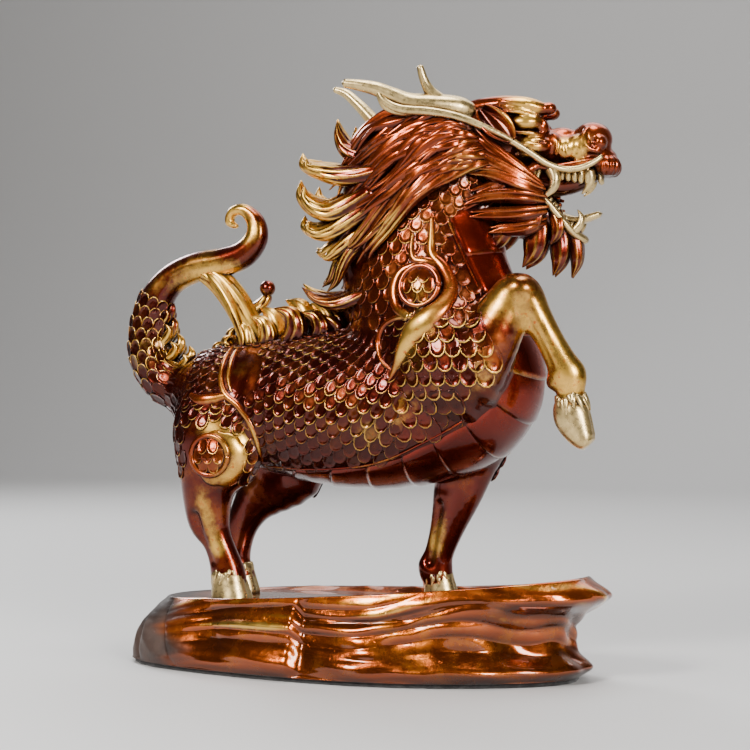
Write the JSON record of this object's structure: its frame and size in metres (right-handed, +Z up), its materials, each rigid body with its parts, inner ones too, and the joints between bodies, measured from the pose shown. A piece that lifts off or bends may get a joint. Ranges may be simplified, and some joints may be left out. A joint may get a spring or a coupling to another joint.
{
  "type": "qilin figure on a rock base",
  "caption": "Lacquered cast qilin with a dragon's head, scaled body and looped tail, prancing on a carved rock with a felt underside",
  "frame": {"origin": "on the felt pad's underside, under the middle of the rock", "axes": "+X towards the figure's head, +Y towards its left side, +Z up"},
  "size_m": [0.1809, 0.0801, 0.2081],
  "materials": {
    "lacquered_brass": "red-brown lacquer over cast brass, gold rubbed through on the raised parts, gloss",
    "amber_lacquer": "amber-brown lacquer over cast brass, high gloss",
    "black_felt": "matt felt"
  },
  "bodies": {
    "root": {"qilin": "lacquered_brass", "rock_base": "amber_lacquer", "felt_pad": "black_felt"}
  },
  "joints": []
}
